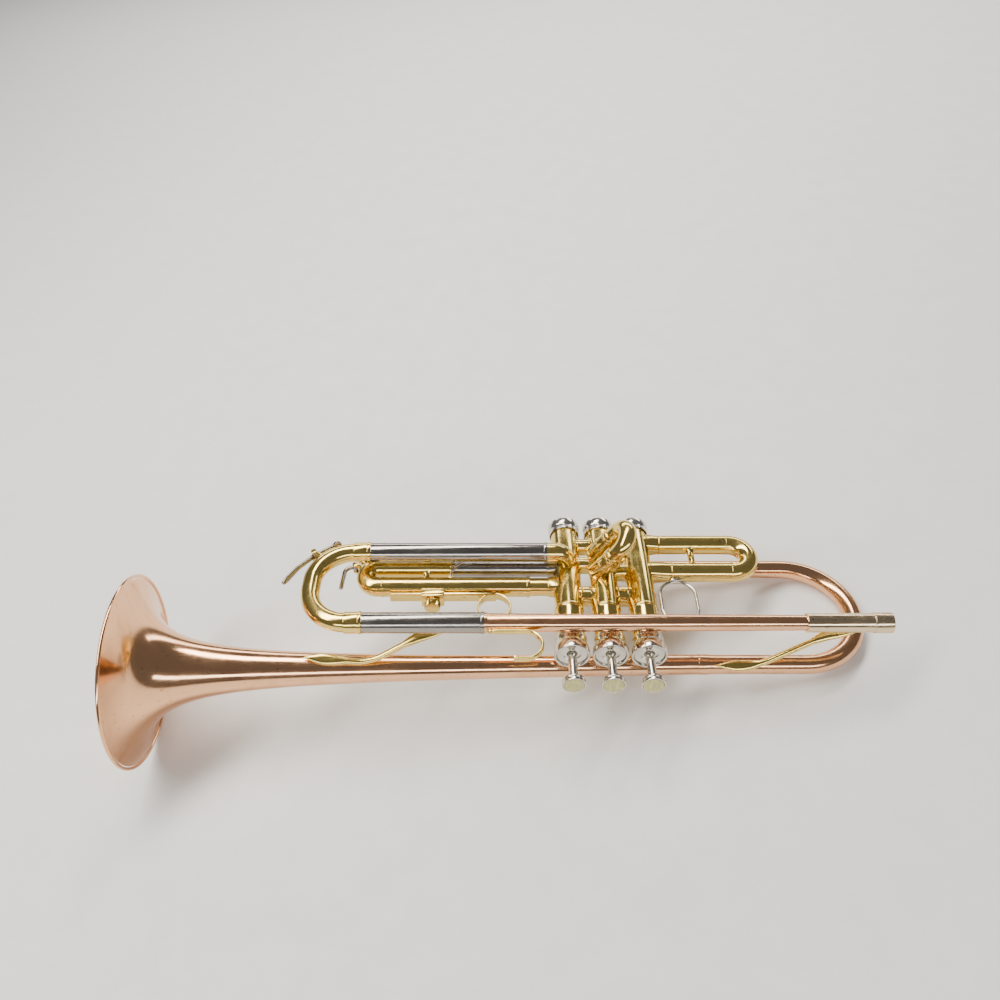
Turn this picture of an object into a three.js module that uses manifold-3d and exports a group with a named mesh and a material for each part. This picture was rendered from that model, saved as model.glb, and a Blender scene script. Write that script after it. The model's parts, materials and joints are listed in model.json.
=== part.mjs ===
import * as THREE from 'three';
import { mergeVertices } from 'three/addons/utils/BufferGeometryUtils.js';
import Module from 'manifold-3d';

const wasm = await Module();
wasm.setup();

// A student B-flat trumpet. Millimetres throughout.
// Instrument axes: x from the bell (-) to the mouthpiece (+), y from the finger buttons (-)
// to the bottom caps (+), z out of the leadpipe side. The origin is on valve 2's axis,
// level with the leadpipe. The whole instrument is then laid on its left side, at rest on
// the rim of its bell and on its bell bow.

// ---- Driving dimensions -------------------------------------------------------------
const clearance = 0.3; // between neighbouring pieces
const overlap = 0.5; // depth by which joined shapes run into each other
const tubeSides = 12;
const barrelSides = 14;
const casingSides = 16;

const valveSpacing = 24.2;
const valveX = { 1: valveSpacing, 2: 0, 3: -valveSpacing };
const casingRadius = 9.5; // lower casing
const casingUpperRadius = 9.0; // narrower upper casing
const casingBore = 8.4;
const casingTop = -7;
const casingLedge = 24;
const casingBottom = 93.5;
const pistonRadius = 8.1;
const pistonTop = 6;
const pistonLength = 60;
const pistonWall = 0.8;
const pistonCrown = 3; // thickness of its closed end
const capFront = -13.2;
const bottomCapEnd = 100.2;

const tubeBore = 5.6; // inside radius of the inner slide tubes
const innerTube = 6.1;
const outerTubeBore = 6.35;
const outerTube = 6.6;
const ferrule = 7.0;

const leadZ = 17; // plane of the leadpipe and the main tuning slide
const leadpipeStart = -79.7;
const receiverStart = 120.7;
const receiverEnd = 173.8;

const tuningLegGap = 60; // between the axes of the main tuning slide's legs
const tuningJoint = -166; // where the bow meets its ferrules
const tuningTubeEnd = -155; // open ends of the outer slide tubes
const tuningBowReach = -190.8; // outermost point of the bow's centre line
const tuningBowBend = 26;

const rimX = -302;
const rimRadius = 61.5;
const rimY = -9.3;
const bellZ = -19.7;
const bowStart = 58; // seam between the bell tail and the bell bow
const bowNearY = -4.4;
const bowFarY = 78.4;
const bowReach = 168.9;
const bellLength = bowStart - rimX;
const bellDroop = Math.atan2(bowNearY - rimY, bellLength);
const flareLength = 104;
const bellWall = 0.8;
const bellTube = 6.2;

const thirdNearY = 44.5;
const thirdFarY = 61.5;
const thirdReach = -159.2; // outermost point of the third slide bow's centre line
const firstNearY = 57.6;
const firstFarY = 83.4;
const firstReach = 101.4;
const secondNearY = 50.4;
const secondFarY = 68.1;
const secondReach = 49;
const secondLean = THREE.MathUtils.degToRad(33); // from +z towards +x
const secondOffset = -9.3; // where its legs' axes cross the valve plane

// Stance of the instrument lying on its left side, with its centre of mass between the
// points that touch the ground.
const restPitch = THREE.MathUtils.degToRad(6.362);
const restRoll = THREE.MathUtils.degToRad(-3.253);

// ---- Materials ----------------------------------------------------------------------
const metal = (color, roughness) => () =>
  new THREE.MeshStandardMaterial({ color, roughness, metalness: 1 });
const roseBrass = metal(0xd9a27a, 0.2);
const yellowBrass = metal(0xd8b75a, 0.2);
const nickelSilver = metal(0xb9b6ac, 0.3);
const brightNickel = metal(0xd2d0c8, 0.15);
const darkNickel = metal(0x6d675c, 0.35);
const springSteel = metal(0x8a8c8e, 0.4);
const pearl = () => new THREE.MeshStandardMaterial({ color: 0xb9b279, roughness: 0.25, metalness: 0 });

// ---- Geometry helpers ---------------------------------------------------------------
const V = (x, y, z) => new THREE.Vector3(x, y, z);
const turn = (degrees) => THREE.MathUtils.degToRad(degrees);

// Position-only geometry with shared vertices and its faces pointing out.
function closed(geometry) {
  geometry.deleteAttribute('normal');
  geometry.deleteAttribute('uv');
  const merged = mergeVertices(geometry, 1e-4);
  const p = merged.attributes.position;
  const index = Array.from(merged.index.array);
  const corners = [V(), V(), V()];
  const kept = [];
  let volume = 0;
  for (let i = 0; i < index.length; i += 3) {
    const [a, b, c] = index.slice(i, i + 3);
    if (a === b || b === c || c === a) continue;
    [a, b, c].forEach((v, k) => corners[k].fromBufferAttribute(p, v));
    volume += corners[0].dot(corners[1].clone().cross(corners[2]));
    kept.push(a, b, c);
  }
  if (volume < 0) kept.reverse();
  merged.setIndex(kept);
  return merged;
}

function toSolid(geometry) {
  const g = closed(geometry);
  return new wasm.Manifold(
    new wasm.Mesh({
      numProp: 3,
      vertProperties: new Float32Array(g.attributes.position.array),
      triVerts: new Uint32Array(g.index.array),
    })
  );
}

function fromSolid(solid) {
  const mesh = solid.getMesh();
  const geometry = new THREE.BufferGeometry();
  geometry.setAttribute('position', new THREE.BufferAttribute(new Float32Array(mesh.vertProperties), 3));
  geometry.setIndex(Array.from(mesh.triVerts));
  return geometry;
}

const joined = (...parts) => fromSolid(parts.map(toSolid).reduce((a, b) => a.add(b)));
const cut = (part, ...tools) => fromSolid(tools.reduce((a, b) => a.subtract(toSolid(b)), toSolid(part)));

// A profile of [radius, height] corners turned about Y. A solid profile starts and ends
// on the axis.
const upright = V(0, 1, 0);
const lathe = (profile, sides) =>
  new THREE.LatheGeometry(profile.map(([r, h]) => new THREE.Vector2(r, h)), sides);

function laid(geometry, axis, origin) {
  geometry.applyQuaternion(new THREE.Quaternion().setFromUnitVectors(upright, axis.clone().normalize()));
  return geometry.translate(origin.x, origin.y, origin.z);
}

// A hollow turned shape, whose profile runs round the wall and back to its first corner.
const turned = (profile, sides, axis = upright, origin = V(0, 0, 0)) =>
  laid(lathe([...profile, profile[0]], sides), axis, origin);

// A plain rod between two points, and a pipe with a bore.
function rod(from, to, radius, sides = tubeSides) {
  const length = from.distanceTo(to);
  return laid(lathe([[0, 0], [radius, 0], [radius, length], [0, length]], sides), to.clone().sub(from), from);
}

function pipe(from, to, outer, inner, sides = tubeSides) {
  const length = from.distanceTo(to);
  const profile = [[inner, 0], [outer, 0], [outer, length], [inner, length]];
  return turned(profile, sides, to.clone().sub(from), from);
}

const block = (x0, x1, y0, y1, z0, z1) =>
  new THREE.BoxGeometry(x1 - x0, y1 - y0, z1 - z0).translate((x0 + x1) / 2, (y0 + y1) / 2, (z0 + z1) / 2);

// A line through corner points whose bends are arcs. Stations fall only where the line
// bends, so that straight stretches stay cheap.
class Route extends THREE.Curve {
  constructor(corners, bend, stepsPerBend = 6) {
    super();
    this.stations = [corners[0]];
    this.tangents = [corners[1].clone().sub(corners[0]).normalize()];
    for (let i = 1; i < corners.length - 1; i++) {
      const before = corners[i].clone().sub(corners[i - 1]).normalize();
      const after = corners[i + 1].clone().sub(corners[i]).normalize();
      const angle = before.angleTo(after);
      const radius = Array.isArray(bend) ? bend[i - 1] : bend;
      const start = corners[i].clone().addScaledVector(before, -radius * Math.tan(angle / 2));
      const side = after.clone().addScaledVector(before, -after.dot(before)).normalize();
      const centre = start.clone().addScaledVector(side, radius);
      for (let k = 0; k <= stepsPerBend; k++) {
        const a = (angle * k) / stepsPerBend;
        const at = centre.clone().addScaledVector(before, radius * Math.sin(a));
        at.addScaledVector(side, -radius * Math.cos(a));
        if (at.distanceTo(this.stations[this.stations.length - 1]) < 1e-3) continue;
        const heading = before.clone().multiplyScalar(Math.cos(a)).addScaledVector(side, Math.sin(a));
        this.stations.push(at);
        this.tangents.push(heading);
      }
    }
    const last = corners[corners.length - 1];
    if (last.distanceTo(this.stations[this.stations.length - 1]) > 1e-3) {
      this.stations.push(last);
      this.tangents.push(last.clone().sub(corners[corners.length - 2]).normalize());
    }
    this.steps = this.stations.length - 1;
  }
  pick(list, t) {
    const place = THREE.MathUtils.clamp(t, 0, 1) * this.steps;
    const i = Math.min(Math.floor(place), this.steps - 1);
    return list[i].clone().lerp(list[i + 1], place - i);
  }
  getPoint(t) { return this.pick(this.stations, t); }
  getPointAt(t) { return this.getPoint(t); }
  getTangent(t) { return this.pick(this.tangents, t).normalize(); }
  getTangentAt(t) { return this.getTangent(t); }
}

const ring = (radius, sides) =>
  Array.from({ length: sides }, (_, i) => {
    const a = (2 * Math.PI * i) / sides;
    return new THREE.Vector2(radius * Math.cos(a), radius * Math.sin(a));
  });

// A section swept along a route: a wire, a tube with a bore, or a flat strip.
function swept(route, section) {
  return new THREE.ExtrudeGeometry(section, { steps: route.steps, extrudePath: route, bevelEnabled: false });
}
const wire = (route, radius, sides = 8) => swept(route, new THREE.Shape(ring(radius, sides)));
function tube(route, outer, inner, sides = tubeSides) {
  const section = new THREE.Shape(ring(outer, sides));
  section.holes.push(new THREE.Path(ring(inner, sides)));
  return swept(route, section);
}
// The strip is `width` wide along z when its route lies in a plane of constant z.
function strip(route, width, thickness) {
  const [w, t] = [width / 2, thickness / 2];
  const corners = [[-w, -t], [w, -t], [w, t], [-w, t]].map(([a, b]) => new THREE.Vector2(a, b));
  return swept(route, new THREE.Shape(corners));
}

// ---- The instrument -----------------------------------------------------------------
const instrument = new THREE.Group();

function add(name, geometry, material, parent = instrument) {
  const mesh = new THREE.Mesh(closed(geometry), material());
  mesh.name = name;
  parent.add(mesh);
  return mesh;
}

// Clearance cylinder round a valve casing, to trim whatever is soldered to it.
function casingCutter(valve, radius = casingRadius) {
  const x = valveX[valve];
  return rod(V(x, casingTop - 20, 0), V(x, bottomCapEnd + 20, 0), radius + clearance, casingSides);
}

// ---- Bell ---------------------------------------------------------------------------
// Outside radius of the bell at a distance from its rim: a steep flare that runs out
// into a slowly tapering tube.
const flareSize = 11;
const flarePower = 0.88;
const bellEndRadius = 3.8;
const bellRadius = (d) =>
  bellEndRadius + (rimRadius - bellEndRadius) * Math.pow(flareSize / (flareSize + d), flarePower);

// Point on the bell's inner wall, square to the outer wall at the same distance.
function bellInner(d) {
  const step = 0.01;
  const slope = (bellRadius(d + step) - bellRadius(d - step)) / (2 * step);
  const length = Math.hypot(1, slope);
  return [bellRadius(d) - bellWall / length, d + (bellWall * slope) / length];
}

function bellShell(distances, sides) {
  const outside = distances.map((d) => [bellRadius(d), d]);
  const inside = distances.map(bellInner).reverse();
  return turned([...outside, ...inside], sides);
}

const bell = new THREE.Group();
bell.position.set(rimX, rimY, bellZ);
bell.rotation.z = -Math.PI / 2 + bellDroop;
instrument.add(bell);

const flareStart = 0.55;
const flareDistances = [flareStart, 2.2, 5, 9.5, 17, 30, 55, flareLength];
const bellSides = 28;
add('bell_flare', bellShell(flareDistances, bellSides), roseBrass, bell);

const tailStart = flareLength + clearance;
add('bell_tail', bellShell([tailStart, 160, 240, bellLength - clearance], tubeSides), roseBrass, bell);

const beadRadius = 1.3;
const beadCentre = rimRadius - 0.9;
const beadProfile = ring(beadRadius, 6).map((p) => [beadCentre + p.x, p.y]);
add('bell_rim_bead', turned(beadProfile, bellSides), roseBrass, bell);

const bowBend = (bowFarY - bowNearY) / 2;
const bowEntryBend = 8.5; // where the bow turns down into casing 1
const bowWall = 0.6;
const bowRoute = new Route(
  [V(bowStart, bowNearY, bellZ), V(bowReach, bowNearY, bellZ), V(bowReach, bowFarY, bellZ),
    V(valveX[1], bowFarY, bellZ), V(valveX[1], bowFarY, -casingUpperRadius + overlap)],
  [bowBend, bowBend, bowEntryBend],
  5
);
add('bell_bow', cut(tube(bowRoute, bellTube, bellTube - bowWall), casingCutter(1)), roseBrass);

// ---- Leadpipe and receiver ----------------------------------------------------------
const leadpipeEnd = receiverStart + 13;
const leadpipeRadius = 4.9;
const alongX = V(1, 0, 0);
add(
  'leadpipe',
  turned(
    [[5.2, leadpipeStart], [5.9, leadpipeStart], [leadpipeRadius, receiverStart - 5],
      [leadpipeRadius, leadpipeEnd], [4.2, leadpipeEnd], [4.2, receiverStart - 5]],
    tubeSides, alongX, V(0, 0, leadZ)
  ),
  roseBrass
);

const receiverSleeve = 11.5; // length of the thicker end sleeve
const receiverRadius = 6.0;
add(
  'mouthpiece_receiver',
  turned(
    [[leadpipeRadius + clearance, receiverStart], [receiverRadius, receiverStart],
      [receiverRadius, receiverEnd - receiverSleeve], [receiverRadius + 0.6, receiverEnd - receiverSleeve],
      [receiverRadius + 0.6, receiverEnd], [5.4, receiverEnd], [4.4, leadpipeEnd + 1],
      [leadpipeRadius + clearance, leadpipeEnd + clearance]],
    barrelSides, alongX, V(0, 0, leadZ)
  ),
  nickelSilver
);

// ---- Main tuning slide --------------------------------------------------------------
const elbowStart = -38.6;
const tuningTube = (y, end) =>
  pipe(V(tuningTubeEnd, y, leadZ), V(end - clearance, y, leadZ), outerTube, outerTubeBore);
add('tuning_tube_upper', tuningTube(0, leadpipeStart), nickelSilver);
add('tuning_tube_lower', tuningTube(tuningLegGap, elbowStart), nickelSilver);

const elbowRoute = new Route(
  [V(elbowStart, tuningLegGap, leadZ), V(valveX[3], tuningLegGap, leadZ), V(valveX[3], tuningLegGap, 6)],
  8, 4
);
add('tuning_elbow', cut(tube(elbowRoute, outerTube, tubeBore), casingCutter(3)), yellowBrass);

const tuningLegEnd = -92;
const tuningRoute = (legEnd) =>
  new Route(
    [V(legEnd, 0, leadZ), V(tuningBowReach, 0, leadZ), V(tuningBowReach, tuningLegGap, leadZ),
      V(legEnd, tuningLegGap, leadZ)],
    tuningBowBend, 5
  );
// Where the main water key stands: on the outside of the bow's far bend.
const tuningBend = V(tuningBowReach + tuningBowBend, tuningLegGap - tuningBowBend, leadZ);
const onBend = (centre, degrees, radius) =>
  centre.clone().add(V(radius * Math.cos(turn(degrees)), radius * Math.sin(turn(degrees)), 0));

// Two lugs that straddle a water key's lever, and the nipple that its cork closes.
function waterKeySeat(centre, bowRadius, pivotAngle, pivotRadius, nippleAngle, lug) {
  const cheeks = [-1, 1].map((side) => {
    const offset = V(0, 0, side * lug);
    return rod(
      onBend(centre, pivotAngle, bowRadius - 2).add(offset),
      onBend(centre, pivotAngle, pivotRadius + 1.2).add(offset), 1.1, 6
    );
  });
  const nipple = rod(
    onBend(centre, nippleAngle, bowRadius - 2), onBend(centre, nippleAngle, bowRadius + 1.4), 2.2, 8
  );
  return [...cheeks, nipple];
}

const tuningBowOuter = tuningBowBend + innerTube;
const tuningPivot = { angle: 140, radius: tuningBowOuter + 4 };
const sleeve = (y, z, x0, x1) => pipe(V(x0, y, z), V(x1, y, z), ferrule, innerTube - 0.2);
const tuningFerrule = tuningTubeEnd - clearance;
add(
  'tuning_slide',
  cut(
    joined(
      wire(tuningRoute(tuningLegEnd), innerTube, tubeSides),
      sleeve(0, leadZ, tuningJoint, tuningFerrule),
      sleeve(tuningLegGap, leadZ, tuningJoint, tuningFerrule),
      ...waterKeySeat(tuningBend, tuningBowOuter, tuningPivot.angle, tuningPivot.radius, 113, 4)
    ),
    wire(tuningRoute(tuningLegEnd + 1), tubeBore, tubeSides)
  ),
  yellowBrass
);

// A water key: cork pad, arm past the pivot, and a curved thumb piece.
function waterKey(pad, padOutward, pivot, bendPoint, tip, width) {
  const arm = strip(new Route([pad, pivot, bendPoint, tip], 4, 3), width, 1.6);
  const inner = pad.clone().addScaledVector(padOutward, -1.9);
  return joined(arm, rod(inner, pad, 2.6, 8));
}
const tuningPad = onBend(tuningBend, 113, tuningBowOuter + 3.6);
add(
  'water_key_main',
  waterKey(
    tuningPad, onBend(V(0, 0, 0), 113, 1), onBend(tuningBend, tuningPivot.angle, tuningPivot.radius),
    V(-201, 47, leadZ), V(-209.5, 33, leadZ), 4.4
  ),
  darkNickel
);

// ---- Valves -------------------------------------------------------------------------
const portRadius = 5.2;
// Where a tube or crossover opens into each casing: height, and outward direction.
const along = (x, z) => V(x, 0, z).normalize();
const secondDirection = V(Math.sin(secondLean), 0, Math.cos(secondLean));
const secondPoint = (y, distance) => V(secondOffset, y, 0).addScaledVector(secondDirection, distance);
const crossovers = [
  { name: 'crossover_3_2', left: 3, right: 2, y: 36, radius: 6.2 },
  { name: 'crossover_2_1', left: 2, right: 1, y: 36, radius: 6.2 },
  { name: 'bridge_3_2_upper', left: 3, right: 2, y: 64, radius: 5.2 },
  { name: 'bridge_3_2_lower', left: 3, right: 2, y: 81, radius: 5.2 },
  { name: 'bridge_2_1', left: 2, right: 1, y: 57, radius: 5.2 },
];
const ports = {
  1: [[36, along(-1, 0)], [firstNearY, along(1, 0)], [firstFarY, along(1, 0)], [bowFarY, along(0, -1)]],
  2: [[36, along(1, 0)], [36, along(-1, 0)], [secondNearY, secondDirection], [secondFarY, secondDirection]],
  3: [[36, along(1, 0)], [thirdNearY, along(-1, 0)], [thirdFarY, along(-1, 0)], [tuningLegGap, along(0, 1)]],
};

function casing(valve) {
  const body = turned(
    [[casingBore, casingTop], [casingUpperRadius, casingTop], [casingUpperRadius, casingLedge],
      [casingRadius, casingLedge + 1.5], [casingRadius, casingBottom], [casingBore, casingBottom]],
    casingSides, V(0, 1, 0), V(valveX[valve], 0, 0)
  );
  const drills = ports[valve].map(([y, direction]) => {
    const centre = direction === secondDirection ? secondPoint(y, 5) : V(valveX[valve], y, 0);
    const outside = centre.clone().addScaledVector(direction, casingRadius + 4);
    return rod(centre.addScaledVector(direction, 2), outside, portRadius, 6);
  });
  return cut(body, ...drills);
}

// The piston is a thin cup, open at the bottom, pierced at each height where air passes.
function piston(valve) {
  const x = valveX[valve];
  const bottom = pistonTop + pistonLength;
  const inside = pistonRadius - pistonWall;
  const body = lathe(
    [[0, pistonTop], [pistonRadius, pistonTop], [pistonRadius, bottom], [inside, bottom],
      [inside, pistonTop + pistonCrown], [0, pistonTop + pistonCrown]],
    tubeSides
  ).translate(x, 0, 0);
  const holes = [20, 36, 54].map((y, i) => {
    const lean = V(Math.cos(turn(55 * i)), 0, Math.sin(turn(55 * i))).multiplyScalar(pistonRadius + 2);
    return rod(V(x, y, 0).sub(lean), V(x, y, 0).add(lean), 4.6, 6);
  });
  return cut(body, ...holes);
}

const stemRadius = 2.8;
const buttonRadius = 7.5;
const buttonBack = -29.9;
const buttonFront = -35.2;
function topCap(x) {
  return turned(
    [[casingUpperRadius + clearance, 0], [10.2, 0], [10.2, -5.5], [11.4, -9.5], [11.4, capFront],
      [9.9, capFront], [9.6, -11.3], [stemRadius + 0.5, -11.3], [stemRadius + 0.5, -8.2],
      [casingUpperRadius + clearance, -8.2]],
    barrelSides, V(0, 1, 0), V(x, 0, 0)
  );
}

function bottomCap(x) {
  return turned(
    [[casingRadius + clearance, 91], [10.5, 91], [10.5, 95.5], [11, 97.2], [11, bottomCapEnd],
      [1.4, bottomCapEnd], [1.4, 98.4], [9.2, 98.4], [casingRadius + clearance, 97]],
    barrelSides, V(0, 1, 0), V(x, 0, 0)
  );
}

function stem(x) {
  const foot = pistonTop - clearance;
  return lathe(
    [[0, foot], [5.2, foot], [5.2, foot - 1.6], [stemRadius, foot - 2.4], [stemRadius, buttonBack + 0.6],
      [stemRadius - 1, buttonBack + 0.6], [stemRadius - 1, buttonBack - 2.2], [0, buttonBack - 2.2]],
    tubeSides
  ).translate(x, 0, 0);
}

function fingerButton(x) {
  const socket = stemRadius - 1 + clearance;
  return lathe(
    [[0, buttonBack - 2.5], [socket, buttonBack - 2.5], [socket, buttonBack], [6.2, buttonBack],
      [buttonRadius, buttonBack - 2.6], [buttonRadius, buttonFront], [6.8, buttonFront], [6.8, -33.9],
      [0, -33.9]],
    barrelSides
  ).translate(x, 0, 0);
}

function pearlDisc(x) {
  const profile = [[0, -34.2], [6.45, -34.2], [6.45, -35.3], [4.5, -35.75], [0, -35.9]];
  return lathe(profile, barrelSides).translate(x, 0, 0);
}

const springTurns = 4;
const stepsPerTurn = 7;
const springRadius = 5.6;
const springTop = pistonTop + pistonLength + 1;
const springBottom = 97.4;
class Coil extends THREE.Curve {
  constructor(x) {
    super();
    this.x = x;
  }
  getPoint(t) {
    const a = 2 * Math.PI * springTurns * t;
    const y = springTop + (springBottom - springTop) * t;
    return V(this.x + springRadius * Math.cos(a), y, springRadius * Math.sin(a));
  }
}
function spring(x) {
  const steps = springTurns * stepsPerTurn;
  return new THREE.ExtrudeGeometry(new THREE.Shape(ring(0.55, 4)), {
    steps, extrudePath: new Coil(x), bevelEnabled: false,
  });
}

for (const valve of [1, 2, 3]) {
  const x = valveX[valve];
  add(`valve_casing_${valve}`, casing(valve), yellowBrass);
  add(`top_cap_${valve}`, topCap(x), brightNickel);
  add(`bottom_cap_${valve}`, bottomCap(x), brightNickel);
  add(`valve_piston_${valve}`, piston(valve), nickelSilver);
  add(`valve_stem_${valve}`, stem(x), brightNickel);
  add(`finger_button_${valve}`, fingerButton(x), brightNickel);
  add(`button_pearl_${valve}`, pearlDisc(x), pearl);
  add(`valve_spring_${valve}`, spring(x), springSteel);
}

for (const { name, left, right, y, radius } of crossovers) {
  const link = pipe(V(valveX[left], y, 0), V(valveX[right], y, 0), radius, radius - 1, 10);
  add(name, cut(link, casingCutter(left), casingCutter(right)), yellowBrass);
}

// ---- Fixed tubes of the three valve slides -------------------------------------------
// A socket that leaves the casing and steps down to the inner tube that its slide rides on.
function fixedSlideTube(valve, y, direction, shoulder, end) {
  const body = turned(
    [[tubeBore, 4], [outerTube, 4], [outerTube, shoulder], [innerTube, shoulder], [innerTube, end],
      [tubeBore, end]],
    tubeSides, direction, V(valveX[valve], y, 0)
  );
  return cut(body, casingCutter(valve));
}
const thirdShoulder = 13; // distances from the valve axis
const firstNearShoulder = 21.8;
const firstFarShoulder = 16.1;
add('slide_3_tube_near', fixedSlideTube(3, thirdNearY, V(-1, 0, 0), thirdShoulder, 88), yellowBrass);
add('slide_3_tube_far', fixedSlideTube(3, thirdFarY, V(-1, 0, 0), thirdShoulder, 112), nickelSilver);
add('slide_1_tube_near', fixedSlideTube(1, firstNearY, alongX, firstNearShoulder, 56), yellowBrass);
add('slide_1_tube_far', fixedSlideTube(1, firstFarY, alongX, firstFarShoulder, 56), yellowBrass);

const secondSocketEnd = 26.3;
function secondSocket(y) {
  const body = pipe(secondPoint(y, 7), secondPoint(y, secondSocketEnd), outerTube, outerTubeBore);
  return cut(body, casingCutter(2));
}
add('slide_2_socket_near', secondSocket(secondNearY), yellowBrass);
add('slide_2_socket_far', secondSocket(secondFarY), yellowBrass);

// ---- Third valve slide ----------------------------------------------------------------
const thirdNearEnd = -49.2;
const thirdFarEnd = -101;
const thirdBend = (thirdFarY - thirdNearY) / 2;
const thirdCorners = (x0, x1) => [
  V(x0, thirdNearY, 0), V(thirdReach, thirdNearY, 0), V(thirdReach, thirdFarY, 0), V(x1, thirdFarY, 0),
];
const thirdBowCentre = V(thirdReach + thirdBend, (thirdNearY + thirdFarY) / 2, 0);
const thirdPivot = { angle: 152, radius: thirdBend + outerTube + 4 };
const collar = (x0, x1, y, radius = ferrule) => pipe(V(x0, y, 0), V(x1, y, 0), radius, outerTube - 0.3);
const railHalf = 3.8; // the ring's rail: half its width
const railTop = 37.1;
const railThickness = 2.2;
const holder = { x0: -121, x1: -106, bottom: 32, top: 38.1, half: 5.4 };
const screwX = (holder.x0 + holder.x1) / 2;
add(
  'slide_3',
  cut(
    joined(
      wire(new Route(thirdCorners(thirdNearEnd, thirdFarEnd), thirdBend, 5), outerTube, tubeSides),
      collar(thirdNearEnd - 2, thirdNearEnd, thirdNearY),
      collar(-148, -144, thirdNearY),
      collar(-148, -144, thirdFarY),
      rod(V(-118.7, thirdNearY + 4, 0), V(-118.7, thirdFarY - 4, 0), 2.2, 8),
      block(holder.x0, holder.x1, holder.bottom, holder.top, -holder.half, holder.half),
      ...waterKeySeat(thirdBowCentre, thirdBend + outerTube, thirdPivot.angle, thirdPivot.radius, 112, 3.2)
    ),
    wire(new Route(thirdCorners(thirdNearEnd + 1, thirdFarEnd + 1), thirdBend, 5), outerTubeBore, tubeSides),
    block(
      holder.x0 - 1, holder.x1 + 1, railTop - railThickness - clearance, railTop + clearance,
      -railHalf - clearance, railHalf + clearance
    ),
    rod(V(screwX, holder.bottom - 1, 0), V(screwX, railTop - 1, 0), 2, 8)
  ),
  yellowBrass
);

const thirdPad = onBend(thirdBowCentre, 112, thirdBend + outerTube + 3.6);
add(
  'water_key_slide_3',
  waterKey(
    thirdPad, onBend(V(0, 0, 0), 112, 1), onBend(thirdBowCentre, thirdPivot.angle, thirdPivot.radius),
    V(-174.3, 62.3, 0), V(-175.3, 43, 0), 3.4
  ),
  darkNickel
);

// Adjustable ring for the third finger, on a flat rail held by a thumbscrew.
const fingerRing = { x: -73, radius: 11.2, wall: 1.3, half: 2.9 };
const ringY = railTop - fingerRing.radius;
add(
  'finger_ring',
  joined(
    pipe(V(fingerRing.x, ringY, -fingerRing.half), V(fingerRing.x, ringY, fingerRing.half), fingerRing.radius,
      fingerRing.radius - fingerRing.wall, 24),
    block(-142, fingerRing.x, railTop - railThickness, railTop - 0.05, -railHalf, railHalf)
  ),
  yellowBrass
);

const screwShank = 1.6;
const screwTip = railTop - railThickness - clearance;
const screwHead = { radius: 5.2, front: 25.4, back: holder.bottom - clearance };
add(
  'ring_thumbscrew',
  lathe(
    [[0, screwHead.front], [screwHead.radius - 0.6, screwHead.front],
      [screwHead.radius, screwHead.front + 0.6], [screwHead.radius, screwHead.back - 1.2],
      [3, screwHead.back], [screwShank, screwHead.back], [screwShank, screwTip], [0, screwTip]],
    barrelSides
  ).translate(screwX, 0, 0),
  yellowBrass
);

// Bent wire across the two legs, which stops the slide.
add(
  'slide_3_stop_wire',
  wire(
    new Route([V(-102.5, 46.5, 8), V(-100, 55, 8.6), V(-94.5, 59.5, 8.6), V(-88, 61.5, 8.2)], 2.5, 3),
    0.9, 6
  ),
  brightNickel
);

// ---- Second valve slide ---------------------------------------------------------------
const secondBend = (secondFarY - secondNearY) / 2;
const secondCorners = (start) => [
  secondPoint(secondNearY, start), secondPoint(secondNearY, secondReach - innerTube),
  secondPoint(secondFarY, secondReach - innerTube), secondPoint(secondFarY, start),
];
const secondSleeve = (y) =>
  pipe(
    secondPoint(y, secondSocketEnd + clearance), secondPoint(y, secondSocketEnd + 2.7),
    ferrule, innerTube - 0.2
  );
add(
  'slide_2',
  cut(
    joined(
      wire(new Route(secondCorners(15.5), secondBend, 4), innerTube, tubeSides),
      secondSleeve(secondNearY), secondSleeve(secondFarY)
    ),
    wire(new Route(secondCorners(14.5), secondBend, 4), tubeBore, tubeSides)
  ),
  yellowBrass
);

// ---- First valve slide ----------------------------------------------------------------
const firstNearEnd = valveX[1] + firstNearShoulder + clearance;
const firstFarEnd = valveX[1] + firstFarShoulder + clearance;
const firstBend = (firstFarY - firstNearY) / 2;
const firstCorners = (x0, x1) => [
  V(x0, firstNearY, 0), V(firstReach, firstNearY, 0), V(firstReach, firstFarY, 0), V(x1, firstFarY, 0),
];
add(
  'slide_1',
  cut(
    joined(
      wire(new Route(firstCorners(firstNearEnd, firstFarEnd), firstBend, 5), outerTube, tubeSides),
      collar(firstNearEnd, firstNearEnd + 1.4, firstNearY, outerTube + 0.25),
      collar(firstFarEnd, firstFarEnd + 1.4, firstFarY, outerTube + 0.25),
      rod(V(62.2, firstNearY + 4, 0), V(62.2, firstFarY - 4, 0), 2.4, 8)
    ),
    wire(new Route(firstCorners(firstNearEnd - 1, firstFarEnd - 1), firstBend, 5), outerTubeBore, tubeSides)
  ),
  yellowBrass
);

// Wire saddle for the left thumb, with a small foot under the slide's near leg.
const saddleX = 48.6;
const saddleHalf = 11.7;
const saddleTop = 49.2;
const saddleOutline = [[2 - saddleHalf, 16.5], [-saddleHalf, 24], [-saddleHalf, saddleTop],
  [saddleHalf, saddleTop], [saddleHalf, 24], [saddleHalf - 2, 16.5]];
add(
  'thumb_saddle',
  joined(
    wire(
      new Route(
        saddleOutline.map(([x, y]) => V(saddleX + x, y, 0)),
        [6, saddleHalf - 0.1, saddleHalf - 0.1, 6], 3
      ),
      1.2, 6
    ),
    block(saddleX - 3.5, saddleX + 3.5, saddleTop - 0.6, firstNearY - outerTube - clearance, -2.2, 2.2)
  ),
  brightNickel
);

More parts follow.
